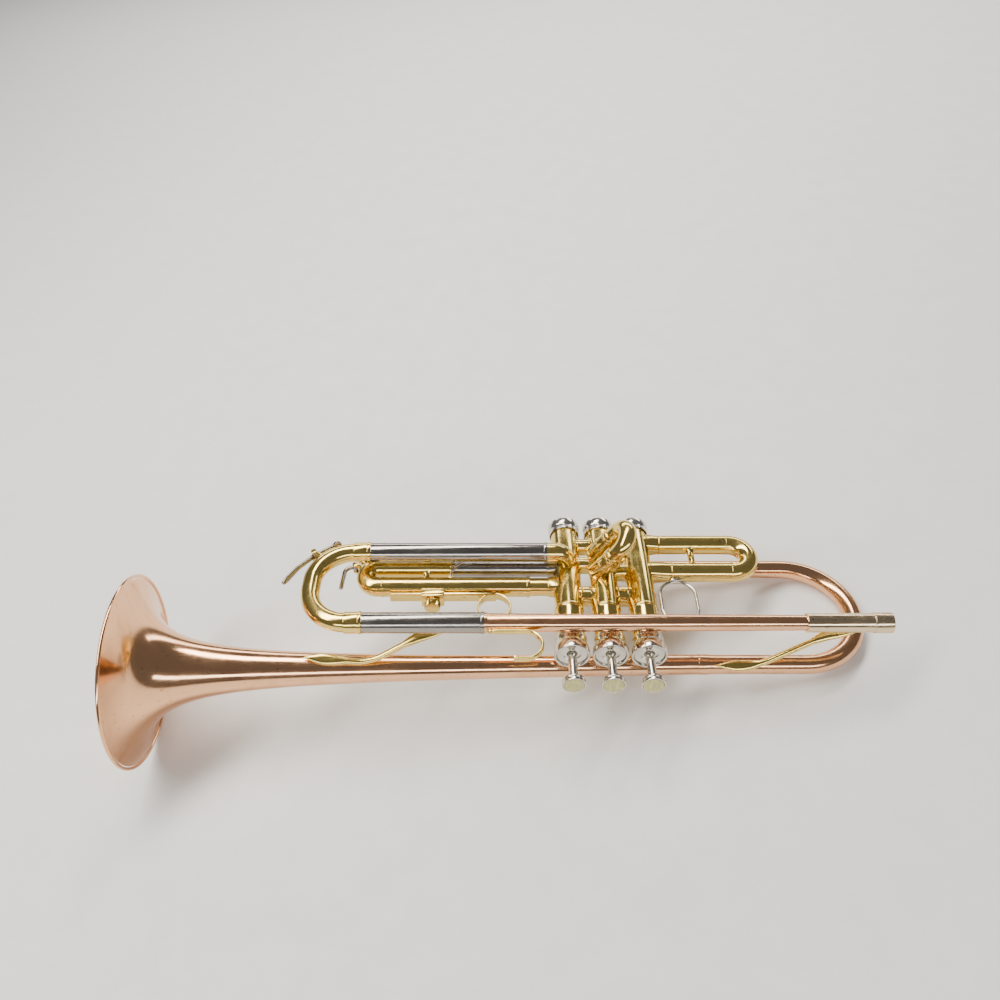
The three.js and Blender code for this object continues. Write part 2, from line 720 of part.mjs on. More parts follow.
// ---- Hook, braces and posts -----------------------------------------------------------
const hookBack = -6.9; // centre line of the strip that lies under the leadpipe
const hookRadius = 10.5;
const hookX = -54;
const hookFront = hookBack - 2 * hookRadius;
add(
  'finger_hook',
  strip(
    new Route(
      [V(-76, hookBack, leadZ), V(hookX + hookRadius, hookBack, leadZ),
        V(hookX + hookRadius, hookFront, leadZ), V(hookX - 6, hookFront, leadZ)],
      hookRadius - 0.05, 6
    ),
    4.6, 1.6
  ),
  yellowBrass
);

const braceRadius = 1.7;
add(
  'front_brace',
  wire(
    new Route(
      [V(-193, -8.6, -6.9), V(-152, -11, -8.9), V(-118, -1.6, 7), V(-104, -0.4, 8.2)],
      [34, 22], 4
    ),
    braceRadius, 6
  ),
  yellowBrass
);
add(
  'rear_brace',
  wire(
    new Route(
      [V(68.6, -10, -13.6), V(94, -9.8, -13.6), V(138, -1.5, 8.6), V(153, -1, 8.8)],
      [34, 22], 4
    ),
    braceRadius, 6
  ),
  yellowBrass
);

const leadpipeCutter = rod(V(-60, 0, leadZ), V(60, 0, leadZ), 5.75 + clearance);
const postRadius = 2.3;
add(
  'leadpipe_post',
  cut(
    rod(V(0, 3.4, 4), V(0, 3.4, leadZ), postRadius, 10), casingCutter(2, casingUpperRadius), leadpipeCutter
  ),
  yellowBrass
);
const tailY = -5.2; // where the bell tail passes the valves
const tailCutter = rod(V(-60, tailY, bellZ), V(60, tailY, bellZ), 7.6);
const postHigh = 9.5; // where a bell post meets the casing
for (const [name, valve] of [['bell_post_front', 3], ['bell_post_rear', 1]]) {
  const x = valveX[valve];
  const post = rod(V(x, postHigh, -5), V(x, tailY, bellZ), postRadius, 10);
  add(name, cut(post, casingCutter(valve, casingUpperRadius), tailCutter), yellowBrass);
}

// ---- Stance ---------------------------------------------------------------------------
// The instrument is tipped onto its rim and bow, and set with its lowest point at z = 0.
const stance = new THREE.Group();
instrument.rotation.set(restRoll, restPitch, 0, 'YXZ');
stance.add(instrument);
stance.updateMatrixWorld(true);
const box = new THREE.Box3().setFromObject(stance, true);
const middle = box.getCenter(V());
stance.position.set(-middle.x, -middle.y, -box.min.z);
stance.updateMatrixWorld(true);

export default stance;
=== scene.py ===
import json
import math

import bmesh
import bpy
from mathutils import Matrix, Vector


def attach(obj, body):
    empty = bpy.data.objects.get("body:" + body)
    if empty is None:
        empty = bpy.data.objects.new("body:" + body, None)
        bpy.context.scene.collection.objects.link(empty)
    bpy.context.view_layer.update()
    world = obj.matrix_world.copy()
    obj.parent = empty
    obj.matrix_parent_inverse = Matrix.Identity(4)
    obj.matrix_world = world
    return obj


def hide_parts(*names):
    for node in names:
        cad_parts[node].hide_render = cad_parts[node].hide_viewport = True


# A student B-flat trumpet lying on its side. The shapes are written in the instrument's own
# axes, in millimetres: x from the bell (-) to the mouthpiece (+), y from the finger buttons
# (-) to the bottom caps (+), z out of the leadpipe side, with the origin on valve 2's axis.

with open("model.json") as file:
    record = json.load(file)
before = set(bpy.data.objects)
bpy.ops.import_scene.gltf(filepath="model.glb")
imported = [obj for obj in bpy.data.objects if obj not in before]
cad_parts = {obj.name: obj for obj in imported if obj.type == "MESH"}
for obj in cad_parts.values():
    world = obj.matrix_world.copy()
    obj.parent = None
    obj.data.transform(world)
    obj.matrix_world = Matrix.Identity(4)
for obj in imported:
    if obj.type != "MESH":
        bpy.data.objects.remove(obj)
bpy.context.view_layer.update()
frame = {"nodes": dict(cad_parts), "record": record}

# ---- Driving dimensions, millimetres --------------------------------------------------
VALVE_X = {1: 24.2, 2: 0.0, 3: -24.2}
CASING_R = 9.5
CASING_UPPER_R = 9.0
CASING_TOP = -7.0
CASING_LEDGE = 24.0
CASING_BOTTOM = 93.5
CAP_FRONT = -13.2
BOTTOM_CAP_END = 100.2
STEM_R = 2.8
BUTTON_R = 7.5
BUTTON_BACK = -29.9
BUTTON_FRONT = -35.2

INNER_TUBE = 6.1
OUTER_TUBE = 6.6
FERRULE = 7.0

LEAD_Z = 17.0
LEADPIPE_START = -79.7
RECEIVER_START = 120.7
RECEIVER_END = 173.8
RECEIVER_SLEEVE = 11.5

TUNING_GAP = 60.0
TUNING_JOINT = -166.0
TUNING_TUBE_END = -155.0
TUNING_LEG_END = -92.0
TUNING_REACH = -190.8
TUNING_BEND = 26.0
KEY_ANGLE = 140  # where the main water key's hinge stands on the bow's far bend
PAD_ANGLE = 113  # where its cork closes the nipple
KEY_LUG = 4.0  # how far from the middle each lug of its hinge stands
KEY_RISE = 4.0  # every water key's hinge above its tube
PAD_RISE = 3.9  # every water key's cup above its tube
ELBOW_START = -38.6

RIM_X = -302.0
RIM_R = 61.5
RIM_Y = -9.3
BELL_Z = -19.7
BELL_END_R = 3.8
FLARE_SIZE = 11.0
FLARE_POWER = 0.88
BELL_WALL = 0.8
BOW_START = 58.0
BOW_NEAR_Y = -4.4
BOW_FAR_Y = 78.4
BOW_REACH = 168.9
BOW_ENTRY_BEND = 8.5
BOW_TUBE = 6.2

THIRD_Y = (44.5, 61.5)
THIRD_REACH = -159.2
THIRD_NEAR_END = -49.2
THIRD_FAR_END = -101.0
THIRD_SEAM_X = -148.0
THIRD_STRUT_X = -118.7
THIRD_KEY_ANGLE = 152
THIRD_PAD_ANGLE = 112
THIRD_KEY_LUG = 3.2
FIRST_Y = (57.6, 83.4)
FIRST_REACH = 101.4
FIRST_ENDS = (46.3, 40.6)
FIRST_SEAM_X = 87.0
FIRST_STRUT_X = 62.2
SECOND_Y = (50.4, 68.1)
SECOND_REACH = 49.0
SECOND_SOCKET_END = 26.3
SECOND_LEG_START = 15.5
SECOND_OFFSET = -9.3  # where its legs' axes cross the valve plane
SECOND_LEAN = math.radians(33)

RAIL_TOP = 37.1
RAIL_THICKNESS = 2.2
RAIL_END = -142.0
HOLDER_X = (-121.0, -106.0)  # the block on the third slide that guides the rail
HOLDER_HALF = 5.4
SCREW_X = -113.5
RING_X = -73.0
RING_R = 11.2
SADDLE_X = 48.6
SADDLE_HALF = 11.7
SADDLE_TOP = 49.2
HOOK_NEAR_Y = -6.9
HOOK_FAR_Y = -27.9
HOOK_TURN_X = -43.5
HOOK_TIP_X = -60.0
POST_R = 2.2
LEAF_LENGTH = 27.0  # of each hammered end of a brace

# ---- The instrument's axes inside the row frame ----------------------------------------
joints = {j["name"]: j for j in frame["record"]["behaviour"]["joints"]}
y_axis = Vector(joints["valve_2_press"]["axis"]).normalized()
x_axis = -Vector(joints["main_slide_pull"]["axis"]).normalized()
z_axis = x_axis.cross(y_axis)
turn_to_row = Matrix((x_axis, y_axis, z_axis)).transposed()
# The main water key's hinge is known in both frames, so it sets the place.
key_radius = TUNING_BEND + INNER_TUBE + KEY_RISE
key_pivot = Vector((
    TUNING_REACH + TUNING_BEND + key_radius * math.cos(math.radians(KEY_ANGLE)),
    TUNING_GAP - TUNING_BEND + key_radius * math.sin(math.radians(KEY_ANGLE)),
    LEAD_Z,
))
to_row = (
    Matrix.Translation(Vector(joints["main_water_key_hinge"]["pos_m"]))
    @ turn_to_row.to_4x4()
    @ Matrix.Scale(0.001, 4)
    @ Matrix.Translation(-key_pivot)
)

X = Vector((1, 0, 0))
Y = Vector((0, 1, 0))
Z = Vector((0, 0, 1))


# ---- Shape helpers ----------------------------------------------------------------------
def soften(profile, size=0.35, steps=3, closed=False):
    """Rounds the corners of a profile, each over a short curve."""
    count = len(profile)
    out = []
    for i, corner in enumerate(profile):
        if not closed and i in (0, count - 1):
            out.append(tuple(corner))
            continue
        here = Vector(corner)
        back = Vector(profile[i - 1]) - here
        ahead = Vector(profile[(i + 1) % count]) - here
        start = here + back.normalized() * min(size, back.length * 0.45)
        end = here + ahead.normalized() * min(size, ahead.length * 0.45)
        for k in range(steps + 1):
            t = k / steps
            out.append(tuple(start * (1 - t) ** 2 + here * (2 * t * (1 - t)) + end * t**2))
    return out


def route(corners, bend, steps=20):
    """Stations of a line through corner points whose bends are arcs."""
    corners = [Vector(c) for c in corners]
    bends = bend if isinstance(bend, (list, tuple)) else [bend] * (len(corners) - 2)
    stations = [corners[0]]
    for i in range(1, len(corners) - 1):
        before = (corners[i] - corners[i - 1]).normalized()
        after = (corners[i + 1] - corners[i]).normalized()
        angle = before.angle(after)
        start = corners[i] - before * bends[i - 1] * math.tan(angle / 2)
        side = (after - before * after.dot(before)).normalized()
        centre = start + side * bends[i - 1]
        for k in range(steps + 1):
            a = angle * k / steps
            at = centre + before * bends[i - 1] * math.sin(a) - side * bends[i - 1] * math.cos(a)
            if (at - stations[-1]).length > 1e-3:
                stations.append(at)
    if (corners[-1] - stations[-1]).length > 1e-3:
        stations.append(corners[-1])
    return stations


def spread(stations, gap):
    """The same line with more stations, none further apart than gap."""
    out = [stations[0]]
    for a, b in zip(stations, stations[1:]):
        count = max(1, math.ceil((b - a).length / gap))
        out += [a.lerp(b, k / count) for k in range(1, count + 1)]
    return out


class Shape:
    """Collects the shells of one piece, in the instrument's axes."""

    def __init__(self):
        self.bm = bmesh.new()

    def skin(self, rings, loop=False):
        """Joins rings of points, and closes each end, or the last ring to the first."""
        rows = [[self.bm.verts.new(p) for p in ring] for ring in rings]
        pairs = list(zip(rows, rows[1:] + rows[:1])) if loop else list(zip(rows, rows[1:]))
        for low, high in pairs:
            count = max(len(low), len(high))
            for k in range(count):
                n = (k + 1) % count
                a, b = (low[0], None) if len(low) == 1 else (low[k], low[n])
                d, c = (high[0], None) if len(high) == 1 else (high[k], high[n])
                self.bm.faces.new([v for v in (a, b, c, d) if v is not None])
        if not loop:
            for row in (rows[0], rows[-1]):
                if len(row) > 1:
                    self.bm.faces.new(row)
        return self

    def turned(self, profile, origin, axis, sides=72, loop=False, knurl=None):
        """A profile of (radius, height) turned about an axis. knurl is (least radius, depth)."""
        turn = Z.rotation_difference(Vector(axis).normalized())
        rings = []
        for r, h in profile:
            ring = []
            for k in range(1 if r < 1e-6 else sides):
                radius = r - knurl[1] * (k % 2) if knurl and r > knurl[0] else r
                a = 2 * math.pi * k / sides
                ring.append(Vector(origin) + turn @ Vector((radius * math.cos(a), radius * math.sin(a), h)))
            rings.append(ring)
        return self.skin(rings, loop)

    def band(self, start, end, outer, inner, soft=0.3, **more):
        """A short tube with rounded edges."""
        way = Vector(end) - Vector(start)
        profile = [(inner, 0), (outer, 0), (outer, way.length), (inner, way.length)]
        return self.turned(soften(profile, soft, closed=True), start, way, loop=True, **more)

    def bar(self, start, end, radius, soft=0.4, **more):
        """A solid rod with rounded ends."""
        way = Vector(end) - Vector(start)
        profile = soften([(0, 0), (radius, 0), (radius, way.length), (0, way.length)], soft)
        return self.turned(profile, start, way, **more)

    def swept(self, stations, width, thickness=None, up=Z, sides=40):
        """An oval section along a line. width and thickness are half sizes: numbers, or
        functions of the fraction of the way along. The thickness starts out along `up`."""
        total = sum((b - a).length for a, b in zip(stations, stations[1:]))
        gone = 0.0
        rings = []
        high = Vector(up)
        for i, at in enumerate(stations):
            if i:
                gone += (at - stations[i - 1]).length
            back = (at - stations[i - 1]).normalized() if i else Vector()
            ahead = (stations[i + 1] - at).normalized() if i + 1 < len(stations) else Vector()
            tangent = (back + ahead).normalized()
            high = (high - tangent * high.dot(tangent)).normalized()
            side = tangent.cross(high)
            part = gone / total
            w = width(part) if callable(width) else width
            t = thickness(part) if callable(thickness) else thickness or w
            ring = []
            for k in range(sides):
                a = 2 * math.pi * k / sides
                ring.append(at + side * (w * math.cos(a)) + high * (t * math.sin(a)))
            rings.append(ring)
        return self.skin(rings)

    def outside(self, valve_x, radius=9.3):
        """Pushes every point out of a valve's bore, so that soldered tubes end in its wall."""
        for v in self.bm.verts:
            gap = math.hypot(v.co.x - valve_x, v.co.z)
            if gap < radius:
                v.co.x = valve_x + (v.co.x - valve_x) * radius / gap
                v.co.z *= radius / gap
        return self

    def slab(self, low, high, soft=0.5):
        """A block with rounded edges."""
        low, high = Vector(low), Vector(high)
        made = bmesh.ops.create_cube(self.bm, size=1.0)["verts"]
        for v in made:
            v.co = (low + high) / 2 + Vector(a * b for a, b in zip(v.co, high - low))
        edges = list({e for v in made for e in v.link_edges})
        bmesh.ops.bevel(self.bm, geom=edges, offset=soft, segments=3, affect="EDGES", profile=0.5)
        return self

    def done(self, name, body, nodes, material, slot, sharp=40):
        """Makes the shells one piece, which rides on a body and stands in for CAD nodes."""
        bmesh.ops.recalc_face_normals(self.bm, faces=self.bm.faces)
        mesh = bpy.data.meshes.new(name)
        self.bm.to_mesh(mesh)
        self.bm.free()
        mesh.transform(to_row)
        mesh.shade_smooth()
        mesh.set_sharp_from_angle(angle=math.radians(sharp))
        mesh.materials.append(material)
        piece = bpy.data.objects.new(name, mesh)
        bpy.context.scene.collection.objects.link(piece)
        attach(piece, body)
        if nodes:
            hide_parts(*nodes)
        return piece


# ---- Materials --------------------------------------------------------------------------
class Nodes:
    """Short calls that build one material's nodes."""

    def __init__(self, name):
        self.material = bpy.data.materials.new(name)
        self.material.use_nodes = True
        self.tree = self.material.node_tree
        self.shader = self.tree.nodes["Principled BSDF"]
        self.place = self.tree.nodes.new("ShaderNodeTexCoord").outputs["Object"]

    def link(self, source, target):
        self.tree.links.new(source, target)

    def noise(self, scale, detail=4.0, stretch=(1, 1, 1), roughness=0.55, distortion=0.0):
        mapping = self.tree.nodes.new("ShaderNodeMapping")
        mapping.inputs["Scale"].default_value = stretch
        self.link(self.place, mapping.inputs["Vector"])
        made = self.tree.nodes.new("ShaderNodeTexNoise")
        made.inputs["Scale"].default_value = scale
        made.inputs["Detail"].default_value = detail
        made.inputs["Roughness"].default_value = roughness
        made.inputs["Distortion"].default_value = distortion
        self.link(mapping.outputs["Vector"], made.inputs["Vector"])
        return made.outputs["Fac"]

    def ranged(self, value, low, high, to_low=0.0, to_high=1.0):
        made = self.tree.nodes.new("ShaderNodeMapRange")
        made.interpolation_type = "SMOOTHSTEP"
        for key, number in zip(("From Min", "From Max", "To Min", "To Max"), (low, high, to_low, to_high)):
            made.inputs[key].default_value = number
        self.link(value, made.inputs["Value"])
        return made.outputs["Result"]

    def mixed(self, factor, a, b):
        made = self.tree.nodes.new("ShaderNodeMix")
        made.data_type = "RGBA"
        self.link(factor, made.inputs["Factor"])
        for key, value in (("A", a), ("B", b)):
            socket = [s for s in made.inputs if s.name == key and s.type == "RGBA"][0]
            if isinstance(value, tuple):
                socket.default_value = (*value, 1)
            else:
                self.link(value, socket)
        return [s for s in made.outputs if s.type == "RGBA"][0]

    def sum(self, a, b, weight):
        made = self.tree.nodes.new("ShaderNodeMath")
        made.operation = "MULTIPLY_ADD"
        self.link(b, made.inputs[0])
        made.inputs[1].default_value = weight
        self.link(a, made.inputs[2])
        return made.outputs[0]

    def bump(self, height, distance, strength=1.0):
        made = self.tree.nodes.new("ShaderNodeBump")
        made.inputs["Distance"].default_value = distance
        made.inputs["Strength"].default_value = strength
        self.link(height, made.inputs["Height"])
        self.link(made.outputs["Normal"], self.shader.inputs["Normal"])


def metal(name, colour, patina, stain, rough, worn_rough, patina_from=0.5, pits=0.66):
    """Lacquered or plated metal: slow drifts of patina, small dark pits, dull handled
    patches, and hairline scratches that run along the tubes."""
    n = Nodes(name)
    n.shader.inputs["Metallic"].default_value = 1.0
    clouds = n.noise(28, 7, (0.5, 1, 1), 0.62, 0.6)
    specks = n.noise(620, 3, (0.8, 1, 1), 0.5)
    blotches = n.noise(95, 5, (0.7, 1, 1), 0.6)
    hairlines = n.noise(160, 3, (1, 9, 9), 0.5, 0.3)
    cross_lines = n.noise(190, 2, (9, 1.2, 1.2), 0.5, 0.2)
    drift = n.mixed(n.ranged(clouds, patina_from, patina_from + 0.24), colour, patina)
    patchy = n.mixed(n.ranged(blotches, 0.58, 0.78, 0.0, 0.55), drift, patina)
    pitted = n.mixed(n.ranged(specks, pits, pits + 0.08, 0.0, 0.85), patchy, stain)
    n.link(pitted, n.shader.inputs["Base Color"])
    wear = n.sum(n.sum(clouds, hairlines, 0.5), blotches, 0.35)
    n.link(n.ranged(wear, 0.72, 1.16, rough, worn_rough), n.shader.inputs["Roughness"])
    relief = n.sum(n.sum(n.ranged(specks, pits, pits + 0.1), hairlines, 0.55), cross_lines, 0.3)
    n.bump(relief, 0.000006, 0.2)
    return n.material


def lustre(name):
    """Mother-of-pearl: folded layers of olive and cream under a hard gloss."""
    n = Nodes(name)
    layers = n.noise(210, 5, (1, 1, 0.5), 0.6, 2.4)
    veins = n.noise(480, 3, (1, 1, 1), 0.5, 1.2)
    base = n.mixed(n.ranged(layers, 0.38, 0.62), (0.48, 0.42, 0.13), (0.62, 0.55, 0.21))
    veined = n.mixed(n.ranged(veins, 0.55, 0.72, 0.0, 0.6), base, (0.66, 0.60, 0.30))
    n.link(veined, n.shader.inputs["Base Color"])
    n.link(n.ranged(layers, 0.3, 0.7, 0.16, 0.3), n.shader.inputs["Roughness"])
    n.shader.inputs["Coat Weight"].default_value = 0.5
    n.shader.inputs["Coat Roughness"].default_value = 0.08
    n.bump(layers, 0.00002, 0.4)
    return n.material


def soft_fill(name, colour, other, scale, rough):
    """Cork or the floor: a matt surface with a fine mottle."""
    n = Nodes(name)
    grain = n.noise(scale, 6, (1, 1, 1), 0.65)
    n.link(n.mixed(n.ranged(grain, 0.35, 0.65), colour, other), n.shader.inputs["Base Color"])
    n.link(n.ranged(grain, 0.3, 0.7, rough - 0.08, rough + 0.08), n.shader.inputs["Roughness"])
    n.bump(grain, 0.0001, 0.25)
    return n.material


rose = metal(
    "rose_brass", (0.86, 0.48, 0.26), (0.68, 0.33, 0.14), (0.20, 0.09, 0.03),
    0.1, 0.22,
)
yellow = metal(
    "yellow_brass", (0.82, 0.61, 0.18), (0.60, 0.42, 0.10), (0.14, 0.09, 0.02),
    0.1, 0.22,
)
# Nickel silver whose colour is darkened with a painted reflection of a dark brown lining; its drifts, pits
# and patches are the metal's own.
nickel_painted_reflection = metal(
    "nickel_silver", (0.34, 0.31, 0.28), (0.25, 0.22, 0.18), (0.10, 0.09, 0.07),
    0.12, 0.26,
)
bright = metal(
    "bright_nickel", (0.68, 0.64, 0.56), (0.54, 0.49, 0.40), (0.16, 0.14, 0.10),
    0.12, 0.24, patina_from=0.54, pits=0.7,
)
champagne = metal(
    "champagne_nickel", (0.78, 0.60, 0.38), (0.56, 0.40, 0.22), (0.15, 0.11, 0.06),
    0.12, 0.32,
)
dark = metal(
    "dark_nickel", (0.32, 0.28, 0.22), (0.15, 0.12, 0.09), (0.05, 0.04, 0.03),
    0.2, 0.4, patina_from=0.46, pits=0.64,
)
steel = metal(
    "spring_steel", (0.45, 0.45, 0.45), (0.25, 0.24, 0.22), (0.10, 0.08, 0.06),
    0.3, 0.5,
)
pearl = lustre("button_pearl")
cork = soft_fill("key_cork", (0.42, 0.27, 0.14), (0.22, 0.13, 0.06), 1500, 0.85)


# ---- Bell -------------------------------------------------------------------------------
def bell_radius(d):
    return BELL_END_R + (RIM_R - BELL_END_R) * (FLARE_SIZE / (FLARE_SIZE + d)) ** FLARE_POWER


def bell_inner(d):
    slope = (bell_radius(d + 0.01) - bell_radius(d - 0.01)) / 0.02
    length = math.hypot(1, slope)
    return (bell_radius(d) - BELL_WALL / length, d + BELL_WALL * slope / length)


bell_length = BOW_START - RIM_X
bell_axis = Vector((bell_length, BOW_NEAR_Y - RIM_Y, 0)).normalized()
rim_centre = Vector((RIM_X, RIM_Y, BELL_Z))
distances = [0.55 + (bell_length - 0.85) * (k / 110) ** 2.2 for k in range(111)]
bell_profile = [(bell_radius(d), d) for d in distances] + [bell_inner(d) for d in reversed(distances)]
Shape().turned(bell_profile, rim_centre, bell_axis, 160, loop=True).done(
    "bell", "frame", ["bell_flare", "bell_tail"], rose, "rose_brass", 60
)

bead = [
    (RIM_R - 0.95 + 1.2 * math.cos(a), 1.2 * math.sin(a))
    for a in (2 * math.pi * k / 20 for k in range(20))
]
Shape().turned(bead, rim_centre, bell_axis, 160, loop=True).done(
    "bell_rim", "frame", ["bell_rim_bead"], rose, "rose_brass"
)

bow_bend = (BOW_FAR_Y - BOW_NEAR_Y) / 2
bow_line = route(
    [(BOW_START, BOW_NEAR_Y, BELL_Z), (BOW_REACH, BOW_NEAR_Y, BELL_Z), (BOW_REACH, BOW_FAR_Y, BELL_Z),
     (VALVE_X[1], BOW_FAR_Y, BELL_Z), (VALVE_X[1], BOW_FAR_Y, -CASING_UPPER_R)],
    [bow_bend, bow_bend, BOW_ENTRY_BEND], 28,
)
Shape().swept(bow_line, BOW_TUBE, sides=48).band(
    (BOW_START - 0.2, BOW_NEAR_Y, BELL_Z), (BOW_START + 7, BOW_NEAR_Y, BELL_Z),
    BOW_TUBE + 0.35, BOW_TUBE - 0.2,
).outside(VALVE_X[1]).done("bell_bow_tube", "frame", ["bell_bow"], rose, "rose_brass")

# ---- Leadpipe and receiver --------------------------------------------------------------
lead_profile = [
    (0, LEADPIPE_START), (5.9, LEADPIPE_START), (4.9, RECEIVER_START - 5), (4.9, RECEIVER_START + 8),
    (0, RECEIVER_START + 8),
]
Shape().turned(soften(lead_profile, 0.3), (0, 0, LEAD_Z), X).band(
    (LEADPIPE_START, 0, LEAD_Z), (LEADPIPE_START + 2.6, 0, LEAD_Z), 6.35, 5.6
).done("leadpipe_tube", "frame", ["leadpipe"], rose, "rose_brass")

bore_end = RECEIVER_START + 14
receiver_profile = soften(
    [(5.1, RECEIVER_START), (6.0, RECEIVER_START), (6.0, RECEIVER_END - RECEIVER_SLEEVE),
     (6.55, RECEIVER_END - RECEIVER_SLEEVE), (6.55, RECEIVER_END), (5.4, RECEIVER_END), (4.4, bore_end)],
    0.35,
)
Shape().turned([*receiver_profile, (0, bore_end)], (0, 0, LEAD_Z), X).done(
    "receiver", "frame", ["mouthpiece_receiver"], champagne, "nickel_silver"
)

# ---- Main tuning slide ------------------------------------------------------------------
for name, node, y, end in (
    ("tuning_tube_near", "tuning_tube_upper", 0.0, LEADPIPE_START),
    ("tuning_tube_far", "tuning_tube_lower", TUNING_GAP, ELBOW_START),
):
    Shape().bar((TUNING_TUBE_END, y, LEAD_Z), (end, y, LEAD_Z), OUTER_TUBE).band(
        (end - 1.6, y, LEAD_Z), (end + 0.8, y, LEAD_Z), FERRULE - 0.1, OUTER_TUBE - 0.5
    ).done(name, "frame", [node], nickel_painted_reflection, "nickel_silver")

elbow_line = route(
    [(ELBOW_START, TUNING_GAP, LEAD_Z), (VALVE_X[3], TUNING_GAP, LEAD_Z), (VALVE_X[3], TUNING_GAP, 3)], 9.5
)
Shape().swept(elbow_line, OUTER_TUBE, up=Y, sides=48).outside(VALVE_X[3]).done(
    "elbow", "frame", ["tuning_elbow"], yellow, "yellow_brass"
)


def on_bend(centre, degrees, radius, z=0.0):
    a = math.radians(degrees)
    return Vector(centre) + Vector((radius * math.cos(a), radius * math.sin(a), z))


def key_seat(shape, centre, bow_radius, pivot_angle, nipple_angle, lug):
    """Two rounded lugs for a water key's pin, with the nipple that its cork closes."""
    pivot_radius = bow_radius + KEY_RISE
    for side in (-1, 1):
        foot = on_bend(centre, pivot_angle, bow_radius - 2, side * lug)
        head = on_bend(centre, pivot_angle, pivot_radius + 0.4, side * lug)
        shape.swept(spread([foot, head], 1), lambda t: 2.1 - 0.5 * t, 0.75, up=Z, sides=20)
        shape.turned(
            soften([(0, -0.8), (1.9, -0.8), (1.9, 0.8), (0, 0.8)], 0.3),
            on_bend(centre, pivot_angle, pivot_radius, side * lug), Z, 32,
        )
    foot = on_bend(centre, nipple_angle, bow_radius - 2)
    outward = on_bend((0, 0, 0), nipple_angle, 1)
    nipple = soften([(0, 0), (2.9, 1.2), (2.3, 2.4), (2.2, 3.4), (0, 3.4)], 0.3)
    return shape.turned(nipple, foot, outward, 32)


tuning_line = route(
    [(TUNING_LEG_END, 0, LEAD_Z), (TUNING_REACH, 0, LEAD_Z), (TUNING_REACH, TUNING_GAP, LEAD_Z),
     (TUNING_LEG_END, TUNING_GAP, LEAD_Z)], TUNING_BEND, 28,
)
tuning_centre = Vector((TUNING_REACH + TUNING_BEND, TUNING_GAP - TUNING_BEND, LEAD_Z))
tuning_outer = TUNING_BEND + INNER_TUBE
slide = Shape().swept(tuning_line, INNER_TUBE, sides=48)
for y in (0.0, TUNING_GAP):
    for start, end, radius in (
        (TUNING_JOINT, TUNING_TUBE_END - 1.9, FERRULE - 0.15),
        (TUNING_TUBE_END - 2.2, TUNING_TUBE_END - 0.3, FERRULE + 0.25),
    ):
        slide.band((start, y, LEAD_Z), (end, y, LEAD_Z), radius, INNER_TUBE - 0.3)
key_seat(slide, tuning_centre, tuning_outer, KEY_ANGLE, PAD_ANGLE, KEY_LUG)
slide.done("main_tuning_slide", "main_slide", ["tuning_slide"], yellow, "yellow_brass")


def water_key(name, node, body, centre, bow_radius, pivot_angle, pad_angle, bend_point, tip, half, lug):
    """A lever on a hinge tube, with a cork pad in a cup and a spoon-shaped thumb piece."""
    pivot = on_bend(centre, pivot_angle, bow_radius + KEY_RISE)
    pad = on_bend(centre, pad_angle, bow_radius + PAD_RISE)
    outward = on_bend((0, 0, 0), pad_angle, 1)
    line = spread(route([pad, pivot, bend_point, tip], 5, 10), 1.2)
    key = Shape().swept(
        line, lambda t: half * (0.72 + 0.5 * max(0.0, t - 0.55) / 0.45) * min(1, (1.02 - t) * 9) ** 0.5,
        lambda t: 1.6 - 0.2 * t, up=outward, sides=24,
    )
    key.turned(soften([(0, 1.1), (3.0, 0.8), (3.2, -1.2), (0, -1.2)], 0.4), pad, outward, 40)
    reach = lug - 0.95
    key.turned(soften([(0, -reach), (1.7, -reach), (1.7, reach), (0, reach)], 0.3), pivot, Z, 32)
    key.done(name, body, [node], dark, "dark_nickel")
    Shape().turned(soften([(0, -1.1), (2.7, -1.1), (2.7, -2.1), (0, -2.1)], 0.25), pad, outward, 32).done(
        name + "_cork", body, [], cork, "dark_nickel"
    )


water_key(
    "main_key", "water_key_main", "main_water_key", tuning_centre, tuning_outer, KEY_ANGLE, PAD_ANGLE,
    Vector((-202, 46, LEAD_Z)), Vector((-209.3, 32.6, LEAD_Z)), 2.3, KEY_LUG,
)

# ---- Valves -----------------------------------------------------------------------------
casing_profile = soften(
    [(0, CASING_TOP), (CASING_UPPER_R, CASING_TOP), (CASING_UPPER_R, CASING_LEDGE - 1.6),
     (CASING_R + 0.2, CASING_LEDGE - 1.2), (CASING_R + 0.2, CASING_LEDGE), (CASING_R, CASING_LEDGE + 0.4),
     (CASING_R, CASING_BOTTOM), (0, CASING_BOTTOM)], 0.45,
)
top_cap_profile = soften(
    [(9.3, 0), (10.1, 0), (10.1, -1.6), (9.85, -1.9), (9.85, -4.6), (10.2, -5.4), (10.9, -6.6),
     (11.35, -8.6), (11.35, CAP_FRONT + 0.4), (10.95, CAP_FRONT), (10.35, CAP_FRONT),
     (9.9, CAP_FRONT + 0.5), (9.5, -11.2), (6.4, -10.6), (4.2, -11.3), (3.3, -11.3),
     (3.3, -8.4), (9.3, -8.4)], 0.3, closed=True,
)
bottom_cap_profile = soften(
    [(9.75, 91), (10.45, 91), (10.45, 92.6), (10.2, 92.9), (10.2, 94.8), (10.5, 95.2), (10.9, 97.2),
     (10.9, BOTTOM_CAP_END - 0.3), (9.7, BOTTOM_CAP_END), (7.4, BOTTOM_CAP_END), (6.9, 99.6), (2.4, 99.6),
     (1.9, BOTTOM_CAP_END), (1.4, BOTTOM_CAP_END), (1.4, 98.4), (9.2, 98.4), (9.75, 97)], 0.25, closed=True,
)
stem_profile = soften(
    [(0, 5.7), (5.2, 5.7), (5.2, 4.1), (STEM_R, 3.3), (STEM_R, BUTTON_BACK + 0.5), (1.8, BUTTON_BACK + 0.5),
     (1.8, BUTTON_BACK - 2.2), (0, BUTTON_BACK - 2.2)], 0.25,
)
